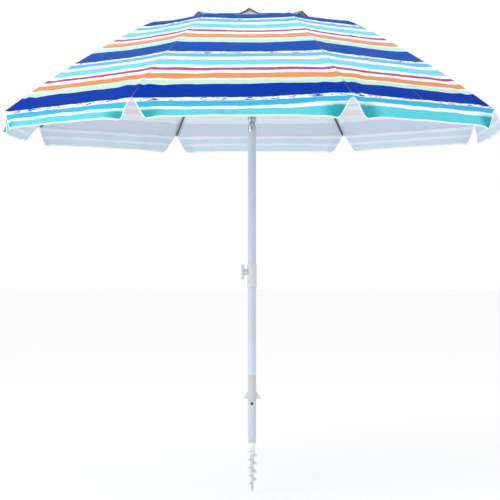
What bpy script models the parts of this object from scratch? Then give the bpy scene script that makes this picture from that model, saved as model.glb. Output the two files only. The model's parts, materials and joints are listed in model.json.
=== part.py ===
"""Beach umbrella with eight ribs, a tilting crown, a telescopic pole and a screw-in sand auger.

Metres, +Z up. The origin is on the pole's axis at the sand line, where the auger meets its tube.
Pieces that repeat round the pole are modelled once in the XZ plane and turned about the Z axis.
"""

import math

import bmesh
import bpy
from mathutils import Matrix, Vector

# Canopy
GORES = 8
RIB_STEP = 2 * math.pi / GORES
HALF_STEP = RIB_STEP / 2
FIRST_RIB = math.radians(-67.5)
CROWN_Z = 1.657
KINK_R = 0.407
KINK_Z = 1.616
RIM_R = 0.970
RIM_Z = 1.260
ARC_STEP = math.radians(9.8)
VENT_HOLE_R = 0.2425
FABRIC = 0.0015
SEAM_GAP = 0.0012
PLEAT_GAP = 0.0003
FLAP_LENGTH = 0.080
FLAP_HANG = math.radians(30)
FLAP_HANG_AT_RIB = math.radians(14)
FLAP_NOTCH = 0.040
CAP_R = 0.300
CAP_PUFF = 0.026
CAP_LIFT = 0.0045
CAP_FABRIC = 0.0012
CAP_HOLE_R = 0.009

# Pole
TUBE_R = 0.016
BORE_R = 0.0144
PLUG_R = 0.0141
JOINT_GAP = 0.0005
SLEEVE_LOW = 0.1645
SLEEVE_HIGH = 0.260
COLLAR_LOW = 0.603
COLLAR_SEAT = 0.6405
MAST_LOW = 0.6905
COLLAR_HIGH = 0.698
SLIDE_R = 0.0139
SLIDE_BORE_R = 0.012
SLIDE_LOW = 0.300
SLIDE_HIGH = 0.780
SOCKET_FOOT = 1.165
TILT_LOW = 1.208
TILT_PIN_Z = 1.234
TILT_PIN_R = 0.003
TILT_HIGH = 1.2702
TONGUE_TOP = 1.292
EAR_R = 0.0125
BLADE_R = 0.011
BLADE_HALF = 0.0058
BLADE_SIDE_GAP = 0.0004
HUB_PIVOT_R = 0.030
RIB_DROP = 0.0068
HUB_TOP = 1.6550
HUB_BOTTOM = 1.6388
HUB_R = 0.038
HUB_SLOT_R = 0.0225
FINIAL_SEAT = 1.6612
FINIAL_R = 0.031
FINIAL_TOP = 1.6805

# Runner and stretchers
RUNNER_PIVOT_Z = 1.389
RUNNER_LOW = 1.3272
RUNNER_BORE_R = 0.0164
RUNNER_R = 0.0205
RUNNER_FLANGE_R = 0.023
RUNNER_CROWN_R = 0.037
RUNNER_SLOT_R = 0.0245
CROWN_HALF = 0.007
WIRE_R = 0.001
RIB_END = 1.99
RIB_HALF_WIDTH = 0.0025
RIB_HALF_HEIGHT = 0.003
BAR_HALF = 0.0022
LUG_SHARE = 0.995
LUG_DROP = 0.010
LUG_R = 0.004
LUG_PIN_R = 0.0015
LUG_HOLE_R = 0.0018
LUG_HALF_WIDTH = 0.0023
FORK_GAP_HALF = 0.0026
FORK_HALF = 0.0044
WIRE_HOLE_R = 0.0014
OPEN_PIVOT_GAP = 0.0024

# Anchor and controls
AUGER_TIP = -0.196
AUGER_NECK = -0.012
AUGER_PITCH = 0.031
AUGER_BLADE_R = 0.025
AUGER_CORE_R = 0.0105
AUGER_STEPS = 16
AUGER_TURNS = 5
PLUG_FOOT = 0.120
PLUG_TOP = 0.280
FLUTES = 12
FLUTE_DEPTH = 0.0006
BUTTON_Z = 0.153
BUTTON_R = 0.0053
BUTTON_SEAT = 0.0126
KNOB_Z = 0.663
KNOB_SEAT = 0.0273
SCREW_R = 0.0040
SCREW_BORE_R = 0.0043
HANDLE_PIN_X = 0.0118
HANDLE_PIN_Z = 0.249
HANDLE_PIN_R = 0.0015
HANDLE_HOLE_R = 0.0018
HANDLE_HALF = 0.0041
HANDLE_SLOT_HALF = 0.0046
CATCH_Z = 1.3245
CATCH_HALF = 0.0024
TILT_BUTTON_Z = 1.259
TILT_BUTTON_R = 0.0036
HOLE_GAP = 0.0003

ROUND = 24
OTHER_AXES = {"X": (1, 2, 0), "Y": (0, 2, 1), "Z": (0, 1, 2)}

COLOURS = {
    "white_tube": ((0.80, 0.84, 0.90), 0.35, 0.0),
    "grey_plastic": ((0.62, 0.63, 0.65), 0.50, 0.0),
    "knuckle_grey": ((0.45, 0.46, 0.48), 0.40, 0.3),
    "dark_plastic": ((0.08, 0.08, 0.09), 0.45, 0.0),
    "steel": ((0.55, 0.56, 0.58), 0.30, 1.0),
    "rib_black": ((0.06, 0.06, 0.07), 0.40, 0.0),
    "stretcher_white": ((0.75, 0.77, 0.80), 0.40, 0.0),
    "blue_fabric": ((0.05, 0.15, 0.70), 0.80, 0.0),
    "auger_white": ((0.85, 0.86, 0.88), 0.45, 0.0),
}


def clear_scene():
    for item in list(bpy.data.objects):
        bpy.data.objects.remove(item, do_unlink=True)


def material(name):
    found = bpy.data.materials.get(name)
    if found:
        return found
    colour, roughness, metallic = COLOURS[name]
    made = bpy.data.materials.new(name)
    made.use_nodes = True
    shader = made.node_tree.nodes["Principled BSDF"]
    shader.inputs["Base Color"].default_value = (*colour, 1)
    shader.inputs["Roughness"].default_value = roughness
    shader.inputs["Metallic"].default_value = metallic
    return made


def add_object(name, mesh, finish, smooth=False):
    made = bpy.data.objects.new(name, mesh)
    bpy.context.scene.collection.objects.link(made)
    if finish:
        mesh.materials.clear()
        mesh.materials.append(material(finish))
    if smooth:
        mesh.shade_smooth()
        mesh.set_sharp_from_angle(angle=math.radians(35))
    return made


def closed_mesh(name, points, faces):
    mesh = bpy.data.meshes.new(name)
    mesh.from_pydata([tuple(p) for p in points], [], faces)
    work = bmesh.new()
    work.from_mesh(mesh)
    bmesh.ops.recalc_face_normals(work, faces=work.faces)
    if work.calc_volume(signed=True) < 0:
        bmesh.ops.reverse_faces(work, faces=work.faces)
    work.to_mesh(mesh)
    work.free()
    return mesh


def turned_mesh(name, profile, segments=ROUND, flutes=0, depth=0.0):
    """Turns a profile of (radius, height) about Z. Points on the axis close its ends."""
    solid = profile[0][0] == 0
    points = []
    rows = []
    for radius, height in profile:
        if radius == 0:
            rows.append([len(points)] * segments)
            points.append((0, 0, height))
            continue
        rows.append(range(len(points), len(points) + segments))
        for i in range(segments):
            angle = 2 * math.pi * i / segments
            groove = depth * (0.5 - 0.5 * math.cos(flutes * angle)) if radius > TUBE_R else 0
            reach = radius - groove
            points.append((reach * math.cos(angle), reach * math.sin(angle), height))
    faces = []
    last = len(rows) - 1 if solid else len(rows)
    for j in range(last):
        low, high = rows[j], rows[(j + 1) % len(rows)]
        for i in range(segments):
            k = (i + 1) % segments
            corners = dict.fromkeys((low[i], low[k], high[k], high[i]))
            faces.append(list(corners))
    return closed_mesh(name, points, faces)


def extruded_mesh(name, outline, axis, low, high):
    """Extrudes an outline along an axis. Outline points are the other two axes in X, Y, Z order."""
    first, second, along = OTHER_AXES[axis]
    points = []
    for level in (low, high):
        for a, b in outline:
            point = [0.0, 0.0, 0.0]
            point[first], point[second], point[along] = a, b, level
            points.append(point)
    count = len(outline)
    faces = [list(range(count)), list(range(count, 2 * count))]
    for i in range(count):
        k = (i + 1) % count
        faces.append([i, k, count + k, count + i])
    return closed_mesh(name, points, faces)


def arc_points(centre, radius, start, stop, steps):
    angles = [start + (stop - start) * i / steps for i in range(steps + 1)]
    return [(centre[0] + radius * math.cos(a), centre[1] + radius * math.sin(a)) for a in angles]


def rod_mesh(name, axis, centre, radius, low, high, segments=12):
    outline = arc_points(centre, radius, 0, 2 * math.pi, segments)[:-1]
    return extruded_mesh(name, outline, axis, low, high)


def box_mesh(name, low, high):
    outline = [(low[0], low[1]), (high[0], low[1]), (high[0], high[1]), (low[0], high[1])]
    return extruded_mesh(name, outline, "Z", low[2], high[2])


def torus_mesh(name, ring_r, wire_r, height, segments=32, sides=5):
    profile = arc_points((ring_r, height), wire_r, 0, 2 * math.pi, sides)[:-1]
    return turned_mesh(name, profile, segments)


def combined(mesh, tool_mesh, operation):
    """The mesh that an exact Boolean of the two meshes leaves."""
    base = add_object("work", mesh, None)
    tool = add_object("tool", tool_mesh, None)
    step = base.modifiers.new("step", "BOOLEAN")
    step.operation = operation
    step.object = tool
    step.solver = "EXACT"
    seen = base.evaluated_get(bpy.context.evaluated_depsgraph_get())
    result = bpy.data.meshes.new_from_object(seen)
    bpy.data.objects.remove(base, do_unlink=True)
    bpy.data.objects.remove(tool, do_unlink=True)
    return result


def joined(mesh, *tools):
    for tool in tools:
        mesh = combined(mesh, tool, "UNION")
    return mesh


def cut(mesh, *tools):
    for tool in tools:
        mesh = combined(mesh, tool, "DIFFERENCE")
    return mesh


def place_origin(item, pivot):
    item.data.transform(Matrix.Translation(-Vector(pivot)))
    item.location = pivot


def turned_frame(name, turn):
    made = bpy.data.objects.new(name, None)
    made.rotation_euler = (0, 0, turn)
    bpy.context.scene.collection.objects.link(made)
    return made


def tube(name, low, high, outer=TUBE_R, inner=BORE_R):
    profile = [(inner, low), (outer, low), (outer, high), (inner, high)]
    return turned_mesh(name, profile)


# Profiles of the canopy


def arc_slope():
    """The slope of the straight line from the kink to the rim."""
    return math.atan2(KINK_Z - RIM_Z, RIM_R - KINK_R)


def canopy_point(share):
    """The fabric's (radius, height) along a rib: 0 at the pole, 1 at the kink, 2 at the rim."""
    if share <= 1:
        return KINK_R * share, CROWN_Z + (KINK_Z - CROWN_Z) * share
    chord = math.hypot(RIM_R - KINK_R, KINK_Z - RIM_Z)
    radius = chord / (2 * math.sin(ARC_STEP / 2))
    start = arc_slope() - ARC_STEP / 2
    angle = start + ARC_STEP * (share - 1)
    x = KINK_R + radius * (math.sin(angle) - math.sin(start))
    z = KINK_Z + radius * (math.cos(angle) - math.cos(start))
    return x, z


def rib_point(share):
    """The rib's middle line, which runs RIB_DROP under the fabric."""
    step = 0.01
    x0, z0 = canopy_point(max(share - step, 0))
    x1, z1 = canopy_point(min(share + step, 2))
    run = math.hypot(x1 - x0, z1 - z0)
    x, z = canopy_point(share)
    return x + RIB_DROP * (z1 - z0) / run, z - RIB_DROP * (x1 - x0) / run


def hub_pivot():
    return HUB_PIVOT_R, rib_point(HUB_PIVOT_R / KINK_R)[1]


def lug_pin():
    x, z = rib_point(LUG_SHARE)
    return x, z - LUG_DROP


# Ribs and stretchers, in the XZ plane


def bar_mesh(name, path, half_height, half_width):
    """A flat bar along a path of (x, z) points."""
    above, below = [], []
    for i, (x, z) in enumerate(path):
        x0, z0 = path[max(i - 1, 0)]
        x1, z1 = path[min(i + 1, len(path) - 1)]
        run = math.hypot(x1 - x0, z1 - z0)
        nx, nz = -(z1 - z0) / run * half_height, (x1 - x0) / run * half_height
        above.append((x + nx, z + nz))
        below.append((x - nx, z - nz))
    points = [(x, y, z) for y in (-half_width, half_width) for x, z in above + below]
    count = len(path)
    faces = []
    for i in range(count - 1):
        for base in (0, 2 * count):
            faces.append([base + i, base + i + 1, base + count + i + 1, base + count + i])
        for row in (0, count):
            faces.append([row + i, row + i + 1, 2 * count + row + i + 1, 2 * count + row + i])
    for i in (0, count - 1):
        faces.append([i, count + i, 3 * count + i, 2 * count + i])
    return closed_mesh(name, points, faces)


def rib_mesh():
    pivot = hub_pivot()
    pin = lug_pin()
    shares = (HUB_PIVOT_R / KINK_R, 0.5, 0.94, 1.0, 1.06, 1.25, 1.5, 1.75, RIB_END)
    bar = bar_mesh("rib", [rib_point(s) for s in shares], RIB_HALF_HEIGHT, RIB_HALF_WIDTH)
    eye = rod_mesh("eye", "Y", pivot, LUG_R, -LUG_HALF_WIDTH, LUG_HALF_WIDTH, 10)
    lug_top = pin[1] + LUG_DROP
    outline = [(pin[0] - LUG_R, lug_top)]
    outline += arc_points(pin, LUG_R, math.pi, 2 * math.pi, 6)
    outline.append((pin[0] + LUG_R, lug_top - 0.001))
    lug = extruded_mesh("lug", outline, "Y", -LUG_HALF_WIDTH, LUG_HALF_WIDTH)
    mesh = joined(bar, eye, lug)
    wire_hole = rod_mesh("hole", "Y", pivot, WIRE_HOLE_R, -0.01, 0.01, 8)
    pin_hole = rod_mesh("hole", "Y", pin, LUG_HOLE_R, -0.01, 0.01, 8)
    return cut(mesh, wire_hole, pin_hole)


def stretcher_mesh():
    """A bar that ends in a fork and its cross pin at the rib, and stops short of the runner's wire."""
    pin = lug_pin()
    run = Vector((HUB_PIVOT_R - pin[0], RUNNER_PIVOT_Z - pin[1]))
    length = run.length
    along = run / length
    side = Vector((-along.y, along.x))

    def at(distance, offset=0.0):
        spot = Vector(pin) + along * distance + side * offset
        return spot.x, spot.y

    bar = bar_mesh("bar", [at(0.016), at(length - OPEN_PIVOT_GAP)], 0.0025, BAR_HALF)
    head = [at(0.022, 0.0035), at(0, 0.0035), at(-0.0035, 0.0015)]
    head += [at(-0.0035, -0.0015), at(0, -0.0035), at(0.022, -0.0035)]
    block = extruded_mesh("block", head, "Y", -FORK_HALF, FORK_HALF)
    mesh = joined(bar, block)
    gap = [at(0.0125, 0.008), at(-0.008, 0.008), at(-0.008, -0.008), at(0.0125, -0.008)]
    mesh = cut(mesh, extruded_mesh("gap", gap, "Y", -FORK_GAP_HALF, FORK_GAP_HALF))
    return joined(mesh, rod_mesh("pin", "Y", pin, LUG_PIN_R, -0.0040, 0.0040, 8))


def make_ribs():
    rib = rib_mesh()
    stretcher = stretcher_mesh()
    hub_at = hub_pivot()
    pin_at = lug_pin()
    rib.transform(Matrix.Translation((-hub_at[0], 0, -hub_at[1])))
    stretcher.transform(Matrix.Translation((-pin_at[0], 0, -pin_at[1])))
    for number in range(1, GORES + 1):
        frame = turned_frame(f"rib_frame_{number}", FIRST_RIB + RIB_STEP * (number - 1))
        for name, mesh, spot, finish in (
            ("rib", rib, hub_at, "rib_black"),
            ("stretcher", stretcher, pin_at, "stretcher_white"),
        ):
            piece = add_object(f"{name}_{number}", mesh, finish)
            piece.parent = frame
            piece.location = (spot[0], 0, spot[1])


# Fabric


def sheet_mesh(name, grid):
    """A single sheet through a grid of rows of points."""
    width = len(grid[0])
    points = [p for row in grid for p in row]
    faces = []
    for j in range(len(grid) - 1):
        for i in range(width - 1):
            at = j * width + i
            faces.append([at, at + 1, at + width + 1, at + width])
    mesh = bpy.data.meshes.new(name)
    mesh.from_pydata([tuple(p) for p in points], [], faces)
    return mesh


def thicken(item, thickness, offset):
    shell = item.modifiers.new("thickness", "SOLIDIFY")
    shell.thickness = thickness
    shell.offset = offset


def panel_point(share, across, rib_side):
    """A point of a half gore: across is 0 at the rib and 1 at the gore's middle line."""
    radius, height = canopy_point(share)
    middle_r = radius * math.cos(HALF_STEP)
    middle = Vector((middle_r * math.cos(HALF_STEP), middle_r * math.sin(HALF_STEP)))
    part = (SEAM_GAP + (middle.y - SEAM_GAP - PLEAT_GAP) * across) / middle.y
    flat = Vector((radius, 0)).lerp(middle, part)
    return Vector((flat.x, flat.y * rib_side, height))


def flap_point(down, across, rib_side):
    """A point of the valance: down is 0 at the rim and 1 at its lower edge."""
    inset = FLAP_NOTCH * down * max(0.0, 1 - across * 3)
    edge = panel_point(2, across, rib_side)
    middle_y = RIM_R * math.cos(HALF_STEP) * math.sin(HALF_STEP)
    along = Vector((-math.sin(HALF_STEP), math.cos(HALF_STEP) * rib_side, 0))
    out = Vector((math.cos(HALF_STEP), math.sin(HALF_STEP) * rib_side, 0))
    hang = FLAP_HANG_AT_RIB + (FLAP_HANG - FLAP_HANG_AT_RIB) * min(1.0, abs(edge.y) / middle_y)
    drop = FLAP_LENGTH * down
    return edge + along * inset + out * drop * math.sin(hang) - Vector((0, 0, drop * math.cos(hang)))


def make_gores():
    shares = (VENT_HOLE_R / KINK_R, 0.8, 1.0, 1.33, 1.67, 2.0)
    columns = (0.0, 0.12, 0.5, 1.0)
    for number in range(1, GORES + 1):
        frame = turned_frame(f"gore_frame_{number}", FIRST_RIB + RIB_STEP * (number - 1))
        for side, label in ((1, "left"), (-1, "right")):
            grid = [[panel_point(s, c, side) for c in columns] for s in shares]
            grid += [[flap_point(d, c, side) for c in columns] for d in (0.5, 1.0)]
            mesh = sheet_mesh("half_gore", grid)
            piece = add_object(f"half_gore_{number}_{label}", mesh, "blue_fabric")
            thicken(piece, FABRIC, -1 if side == 1 else 1)
            piece.parent = frame
            tip = canopy_point(2)
            place_origin(piece, (tip[0], 0, tip[1]))


def make_vent_cap():
    shares = (CAP_HOLE_R, 0.07, 0.15, 0.23, CAP_R)
    segments = 2 * GORES * 2
    points = []
    for radius in shares:
        for i in range(segments):
            angle = 2 * math.pi * i / segments
            swing = angle % RIB_STEP / RIB_STEP
            arch = math.sin(math.pi * swing) ** 1.5
            rise = CAP_PUFF * arch * max(0.0, (radius - 0.07) / (CAP_R - 0.07)) ** 1.5
            chord = math.cos(HALF_STEP) / math.cos(HALF_STEP - min(swing, 1 - swing) * RIB_STEP)
            reach = radius if radius == CAP_HOLE_R else radius * chord
            height = canopy_point(radius / KINK_R)[1] + CAP_LIFT + rise
            spin = FIRST_RIB + angle
            points.append((reach * math.cos(spin), reach * math.sin(spin), height))
    faces = []
    for j in range(len(shares) - 1):
        for i in range(segments):
            k = (i + 1) % segments
            at, beside = j * segments + i, j * segments + k
            faces.append([at, beside, beside + segments, at + segments])
    mesh = bpy.data.meshes.new("vent_cap")
    mesh.from_pydata(points, [], faces)
    cap = add_object("vent_cap", mesh, "blue_fabric")
    thicken(cap, CAP_FABRIC, 1)


# Crown of the pole


def notched_outline(outer, inner, half_width):
    """A disc with a slot for each rib."""
    edge = math.asin(half_width / outer)
    foot = math.asin(half_width / inner)
    corners = ((outer, -edge), (inner, -foot), (inner, foot), (outer, edge), (outer, HALF_STEP))
    outline = []
    for k in range(GORES):
        turn = FIRST_RIB + RIB_STEP * k
        outline += [(r * math.cos(turn + a), r * math.sin(turn + a)) for r, a in corners]
    return outline


def groove_mesh(height, top):
    half = WIRE_R + HOLE_GAP
    profile = [
        (HUB_PIVOT_R - half, height - half),
        (HUB_PIVOT_R + half, height - half),
        (HUB_PIVOT_R + half, top),
        (HUB_PIVOT_R - half, top),
    ]
    return turned_mesh("groove", profile, 32)


def make_hub():
    height = hub_pivot()[1]
    body = extruded_mesh("hub", notched_outline(HUB_R, HUB_SLOT_R, 0.003), "Z", HUB_BOTTOM, HUB_TOP)
    bore = rod_mesh("bore", "Z", (0, 0), TUBE_R + HOLE_GAP, HUB_BOTTOM - 0.01, HUB_TOP + 0.01, ROUND)
    add_object("hub", cut(body, bore, groove_mesh(height, HUB_TOP + 0.01)), "grey_plastic")
    add_object("hub_ring_wire", torus_mesh("wire", HUB_PIVOT_R, WIRE_R, height), "steel", True)


def make_finial():
    profile = [
        (0, HUB_TOP - 0.025),
        (PLUG_R, HUB_TOP - 0.025),
        (PLUG_R, HUB_TOP - 0.0015),
        (0.008, HUB_TOP - 0.0015),
        (0.008, FINIAL_SEAT),
        (FINIAL_R - 0.001, FINIAL_SEAT),
        (FINIAL_R, FINIAL_SEAT + 0.0028),
        (0.024, FINIAL_SEAT + 0.0078),
        (0.012, FINIAL_TOP - 0.0045),
        (0.006, FINIAL_TOP - 0.0010),
        (0, FINIAL_TOP),
    ]
    add_object("finial", turned_mesh("finial", profile), "grey_plastic", True)


def make_upper_tube():
    body = tube("upper_tube", TILT_HIGH + HOLE_GAP, HUB_TOP - JOINT_GAP)
    slot = box_mesh("slot", (-0.0028, 0, CATCH_Z - 0.0275), (0.0028, 0.03, CATCH_Z + 0.001))
    add_object("upper_tube", cut(body, slot), "white_tube", True)
    profile = [
        (0.0105, CATCH_Z - 0.026),
        (0.0156, CATCH_Z - 0.026),
        (0.0196, CATCH_Z - 0.005),
        (0.0196, CATCH_Z),
        (0.0105, CATCH_Z),
    ]
    catch = add_object("top_catch", extruded_mesh("catch", profile, "X", -CATCH_HALF, CATCH_HALF), "steel")
    place_origin(catch, (0, 0.0156, CATCH_Z))


def make_runner():
    low, high = RUNNER_PIVOT_Z - CROWN_HALF, RUNNER_PIVOT_Z + CROWN_HALF
    crown = extruded_mesh("crown", notched_outline(RUNNER_CROWN_R, RUNNER_SLOT_R, 0.0027), "Z", low, high)
    sleeve = turned_mesh("sleeve", [
        (0, RUNNER_LOW),
        (RUNNER_FLANGE_R, RUNNER_LOW),
        (RUNNER_FLANGE_R, RUNNER_LOW + 0.005),
        (RUNNER_R, RUNNER_LOW + 0.010),
        (RUNNER_R, low + 0.002),
        (0, low + 0.002),
    ])
    bore = rod_mesh("bore", "Z", (0, 0), RUNNER_BORE_R, RUNNER_LOW - 0.01, high + 0.01, ROUND)
    groove = groove_mesh(RUNNER_PIVOT_Z, high + 0.01)
    mesh = cut(joined(crown, sleeve), bore, groove)
    runner = add_object("runner", mesh, "grey_plastic")
    place_origin(runner, (0, 0, RUNNER_PIVOT_Z))
    wire = torus_mesh("wire", HUB_PIVOT_R, WIRE_R, RUNNER_PIVOT_Z)
    add_object("runner_ring_wire", wire, "steel", True)


# Tilt knuckle


def make_knuckle():
    pin = (0, TILT_PIN_Z)
    hole = rod_mesh("hole", "Y", pin, TILT_PIN_R + HOLE_GAP, -0.03, 0.03, 16)
    solid = turned_mesh("socket", [
        (0, SOCKET_FOOT),
        (PLUG_R, SOCKET_FOOT),
        (PLUG_R, TILT_LOW),
        (TUBE_R, TILT_LOW),
        (TUBE_R, TILT_PIN_Z + EAR_R),
        (0, TILT_PIN_Z + EAR_R),
    ])
    half = BLADE_HALF + BLADE_SIDE_GAP
    slot = box_mesh("slot", (-0.03, -half, TILT_PIN_Z - EAR_R), (0.03, half, TILT_PIN_Z + 0.03))
    trim = [(-0.03, TILT_PIN_Z), (-EAR_R, TILT_PIN_Z)]
    trim += arc_points(pin, EAR_R, math.pi, 0, 10)[1:]
    trim += [(0.03, TILT_PIN_Z), (0.03, TILT_PIN_Z + 0.03), (-0.03, TILT_PIN_Z + 0.03)]
    ears = extruded_mesh("trim", trim, "Y", -0.03, 0.03)
    add_object("tilt_socket", cut(solid, slot, ears, hole), "knuckle_grey", True)
    pivot = rod_mesh("tilt_pin", "Y", pin, TILT_PIN_R, -0.0152, 0.0152, 16)
    add_object("tilt_pin", pivot, "steel", True)
    make_tongue(pin)


def make_tongue(pin):
    hole = rod_mesh("hole", "Y", pin, TILT_PIN_R + HOLE_GAP, -0.03, 0.03, 16)
    body = turned_mesh("tongue", [
        (0, TILT_PIN_Z + EAR_R + 0.001),
        (TUBE_R, TILT_PIN_Z + EAR_R + 0.001),
        (TUBE_R, TILT_HIGH),
        (PLUG_R, TILT_HIGH),
        (PLUG_R, TONGUE_TOP),
        (0, TONGUE_TOP),
    ])
    root = TILT_PIN_Z + EAR_R + 0.003
    outline = [(BLADE_R, root), (-BLADE_R, root)]
    outline += arc_points(pin, BLADE_R, math.pi, 2 * math.pi, 10)
    blade = extruded_mesh("blade", outline, "Y", -BLADE_HALF, BLADE_HALF)
    pocket = rod_mesh("pocket", "Y", (0, TILT_BUTTON_Z), TILT_BUTTON_R + 0.0004, 0.0075, 0.03, 16)
    tongue = add_object("tilt_tongue", cut(joined(body, blade), hole, pocket), "knuckle_grey", True)
    place_origin(tongue, (0, 0, TILT_PIN_Z))
    head = rod_mesh("tilt_button", "Y", (0, TILT_BUTTON_Z), TILT_BUTTON_R, 0.0105, 0.0159, 16)
    button = add_object("tilt_button", head, "dark_plastic", True)
    place_origin(button, (0, 0.0159, TILT_BUTTON_Z))


# Pole, collar and wing knob


def make_pole():
    auger_top = SLEEVE_LOW - JOINT_GAP
    auger_tube = tube("auger_tube", 0, auger_top)
    hole = rod_mesh("hole", "Y", (0, BUTTON_Z), BUTTON_R + 0.0004, -0.03, 0, 16)
    add_object("auger_tube", cut(auger_tube, hole), "white_tube", True)
    lower = tube("lower_tube", SLEEVE_HIGH + JOINT_GAP, COLLAR_SEAT - JOINT_GAP)
    add_object("lower_tube", lower, "white_tube", True)
    mast = tube("mast_tube", MAST_LOW, TILT_LOW - JOINT_GAP)
    add_object("mast_tube", mast, "white_tube", True)
    slide = tube("slide_tube", SLIDE_LOW, SLIDE_HIGH, SLIDE_R, SLIDE_BORE_R)
    add_object("slide_tube", slide, "steel", True)
    bush = [
        (0, SLIDE_LOW - 0.015),
        (PLUG_R, SLIDE_LOW - 0.015),
        (PLUG_R, SLIDE_LOW - HOLE_GAP),
        (SLIDE_BORE_R - HOLE_GAP, SLIDE_LOW - HOLE_GAP),
        (SLIDE_BORE_R - HOLE_GAP, SLIDE_LOW + 0.015),
        (0, SLIDE_LOW + 0.015),
    ]
    add_object("slide_bush", turned_mesh("slide_bush", bush), "dark_plastic", True)


def make_collar():
    inner_seat = TUBE_R + HOLE_GAP
    inner_slide = SLIDE_R + 0.0004
    profile = [
        (inner_seat, COLLAR_LOW),
        (0.0178, COLLAR_LOW),
        (0.0190, COLLAR_LOW + 0.006),
        (0.0192, COLLAR_LOW + 0.016),
        (0.0182, COLLAR_LOW + 0.026),
        (0.0182, COLLAR_HIGH - 0.024),
        (0.0174, COLLAR_HIGH - 0.002),
        (0.0170, COLLAR_HIGH),
        (inner_seat, COLLAR_HIGH),
        (inner_seat, MAST_LOW - JOINT_GAP),
        (inner_slide, MAST_LOW - JOINT_GAP),
        (inner_slide, COLLAR_SEAT),
        (inner_seat, COLLAR_SEAT),
    ]
    ring = turned_mesh("collar", profile)
    boss = rod_mesh("boss", "X", (0, KNOB_Z), 0.0125, -0.0270, -0.0165, 20)
    hole = rod_mesh("hole", "X", (0, KNOB_Z), SCREW_BORE_R, -0.03, -0.005, 12)
    add_object("clamp_collar", cut(joined(ring, boss), hole), "grey_plastic", True)


def make_wing_knob():
    half = [(-0.0275, 0), (-0.0275, 0.009), (-0.0300, 0.016), (-0.0305, 0.027), (-0.0325, 0.029)]
    outer = [(-0.0410, 0.029), (-0.0430, 0.026), (-0.0415, 0.012), (-0.0405, 0)]
    upper = half + outer
    lower = [(x, -z) for x, z in reversed(upper[1:-1])]
    outline = [(x, KNOB_Z + z) for x, z in upper + lower]
    wing = extruded_mesh("wing", outline, "Y", -0.003, 0.003)
    boss = rod_mesh("boss", "X", (0, KNOB_Z), 0.0085, -0.0385, -KNOB_SEAT, 16)
    bore = rod_mesh("bore", "X", (0, KNOB_Z), SCREW_BORE_R, -0.0372, -0.02, 12)
    knob = add_object("wing_knob", cut(joined(wing, boss), bore), "grey_plastic", True)
    place_origin(knob, (-KNOB_SEAT, 0, KNOB_Z))
    screw = rod_mesh("clamp_screw", "X", (0, KNOB_Z), SCREW_R, -0.0369, -0.0143, 12)
    add_object("clamp_screw", screw, "steel", True)


# Sand anchor


def make_sleeve():
    profile = [
        (0, PLUG_FOOT),
        (PLUG_R, PLUG_FOOT),
        (PLUG_R, SLEEVE_LOW),
        (0.0160, SLEEVE_LOW),
        (0.0164, SLEEVE_LOW + 0.003),
        (0.0168, SLEEVE_HIGH - 0.004),
        (0.0162, SLEEVE_HIGH),
        (PLUG_R, SLEEVE_HIGH),
        (PLUG_R, PLUG_TOP),
        (0, PLUG_TOP),
    ]
    mesh = turned_mesh("sleeve", profile, 4 * FLUTES, flutes=FLUTES, depth=FLUTE_DEPTH)
    for side in (-1, 1):
        ends = sorted((side * 0.0080, side * 0.03))
        half = HANDLE_SLOT_HALF
        slot = box_mesh("slot", (ends[0], -half, 0.168), (ends[1], half, HANDLE_PIN_Z + 0.0075))
        pin = (side * HANDLE_PIN_X, HANDLE_PIN_Z)
        mesh = cut(mesh, slot, rod_mesh("hole", "Y", pin, HANDLE_HOLE_R, -0.03, 0.03, 8))
    pocket = rod_mesh("pocket", "Y", (0, BUTTON_Z), 0.0062, -0.03, -0.006, 16)
    add_object("twist_sleeve", cut(mesh, pocket), "grey_plastic", True)


def make_handle(side, label):
    outline = [(0.0084, HANDLE_PIN_Z)]
    outline += arc_points((HANDLE_PIN_X + 0.0003, HANDLE_PIN_Z), 0.0037, math.pi, 0, 8)
    outline += [
        (0.0160, 0.200),
        (0.0195, 0.196),
        (0.0346, 0.1720),
        (0.0330, 0.1705),
        (0.0100, 0.1705),
        (0.0084, 0.1740),
    ]
    outline = [(side * x, z) for x, z in outline]
    blade = extruded_mesh("handle", outline, "Y", -HANDLE_HALF, HANDLE_HALF)
    pin = (side * HANDLE_PIN_X, HANDLE_PIN_Z)
    blade = cut(blade, rod_mesh("hole", "Y", pin, HANDLE_HOLE_R, -0.01, 0.01, 8))
    handle = add_object(f"fold_handle_{label}", blade, "grey_plastic")
    place_origin(handle, (pin[0], 0, pin[1]))
    pivot = rod_mesh("handle_pin", "Y", pin, HANDLE_PIN_R, -0.0102, 0.0102, 8)
    add_object(f"handle_pin_{label}", pivot, "steel")


def make_snap_button():
    profile = [(0, -0.0106), (0.0059, -0.0106), (0.0059, -BUTTON_SEAT), (BUTTON_R, -BUTTON_SEAT)]
    profile += [(BUTTON_R, -0.0168), (0.0046, -0.0178), (0, -0.0180)]
    mesh = turned_mesh("snap_button", profile, 16)
    mesh.transform(Matrix.Translation((0, 0, BUTTON_Z)) @ Matrix.Rotation(math.radians(-90), 4, "X"))
    button = add_object("snap_button", mesh, "dark_plastic", True)
    place_origin(button, (0, -BUTTON_SEAT, BUTTON_Z))


def make_button_spring():
    turns, steps, sides = 2.5, 10, 4
    coil_r, wire_r = 0.0040, 0.0004
    low, high = -0.0101, -0.0065
    points = []
    count = int(turns * steps) + 1
    for i in range(count):
        share = i / (count - 1)
        turn = 2 * math.pi * turns * share
        for k in range(sides):
            a = 2 * math.pi * k / sides
            r = coil_r + wire_r * math.cos(a)
            y = low + (high - low) * share + wire_r * math.sin(a)
            points.append((r * math.cos(turn), y, BUTTON_Z + r * math.sin(turn)))
    faces = [list(range(sides)), list(range(len(points) - sides, len(points)))]
    for i in range(count - 1):
        for k in range(sides):
            n = (k + 1) % sides
            faces.append([i * sides + k, i * sides + n, (i + 1) * sides + n, (i + 1) * sides + k])
    add_object("button_spring", closed_mesh("button_spring", points, faces), "steel", True)


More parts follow.
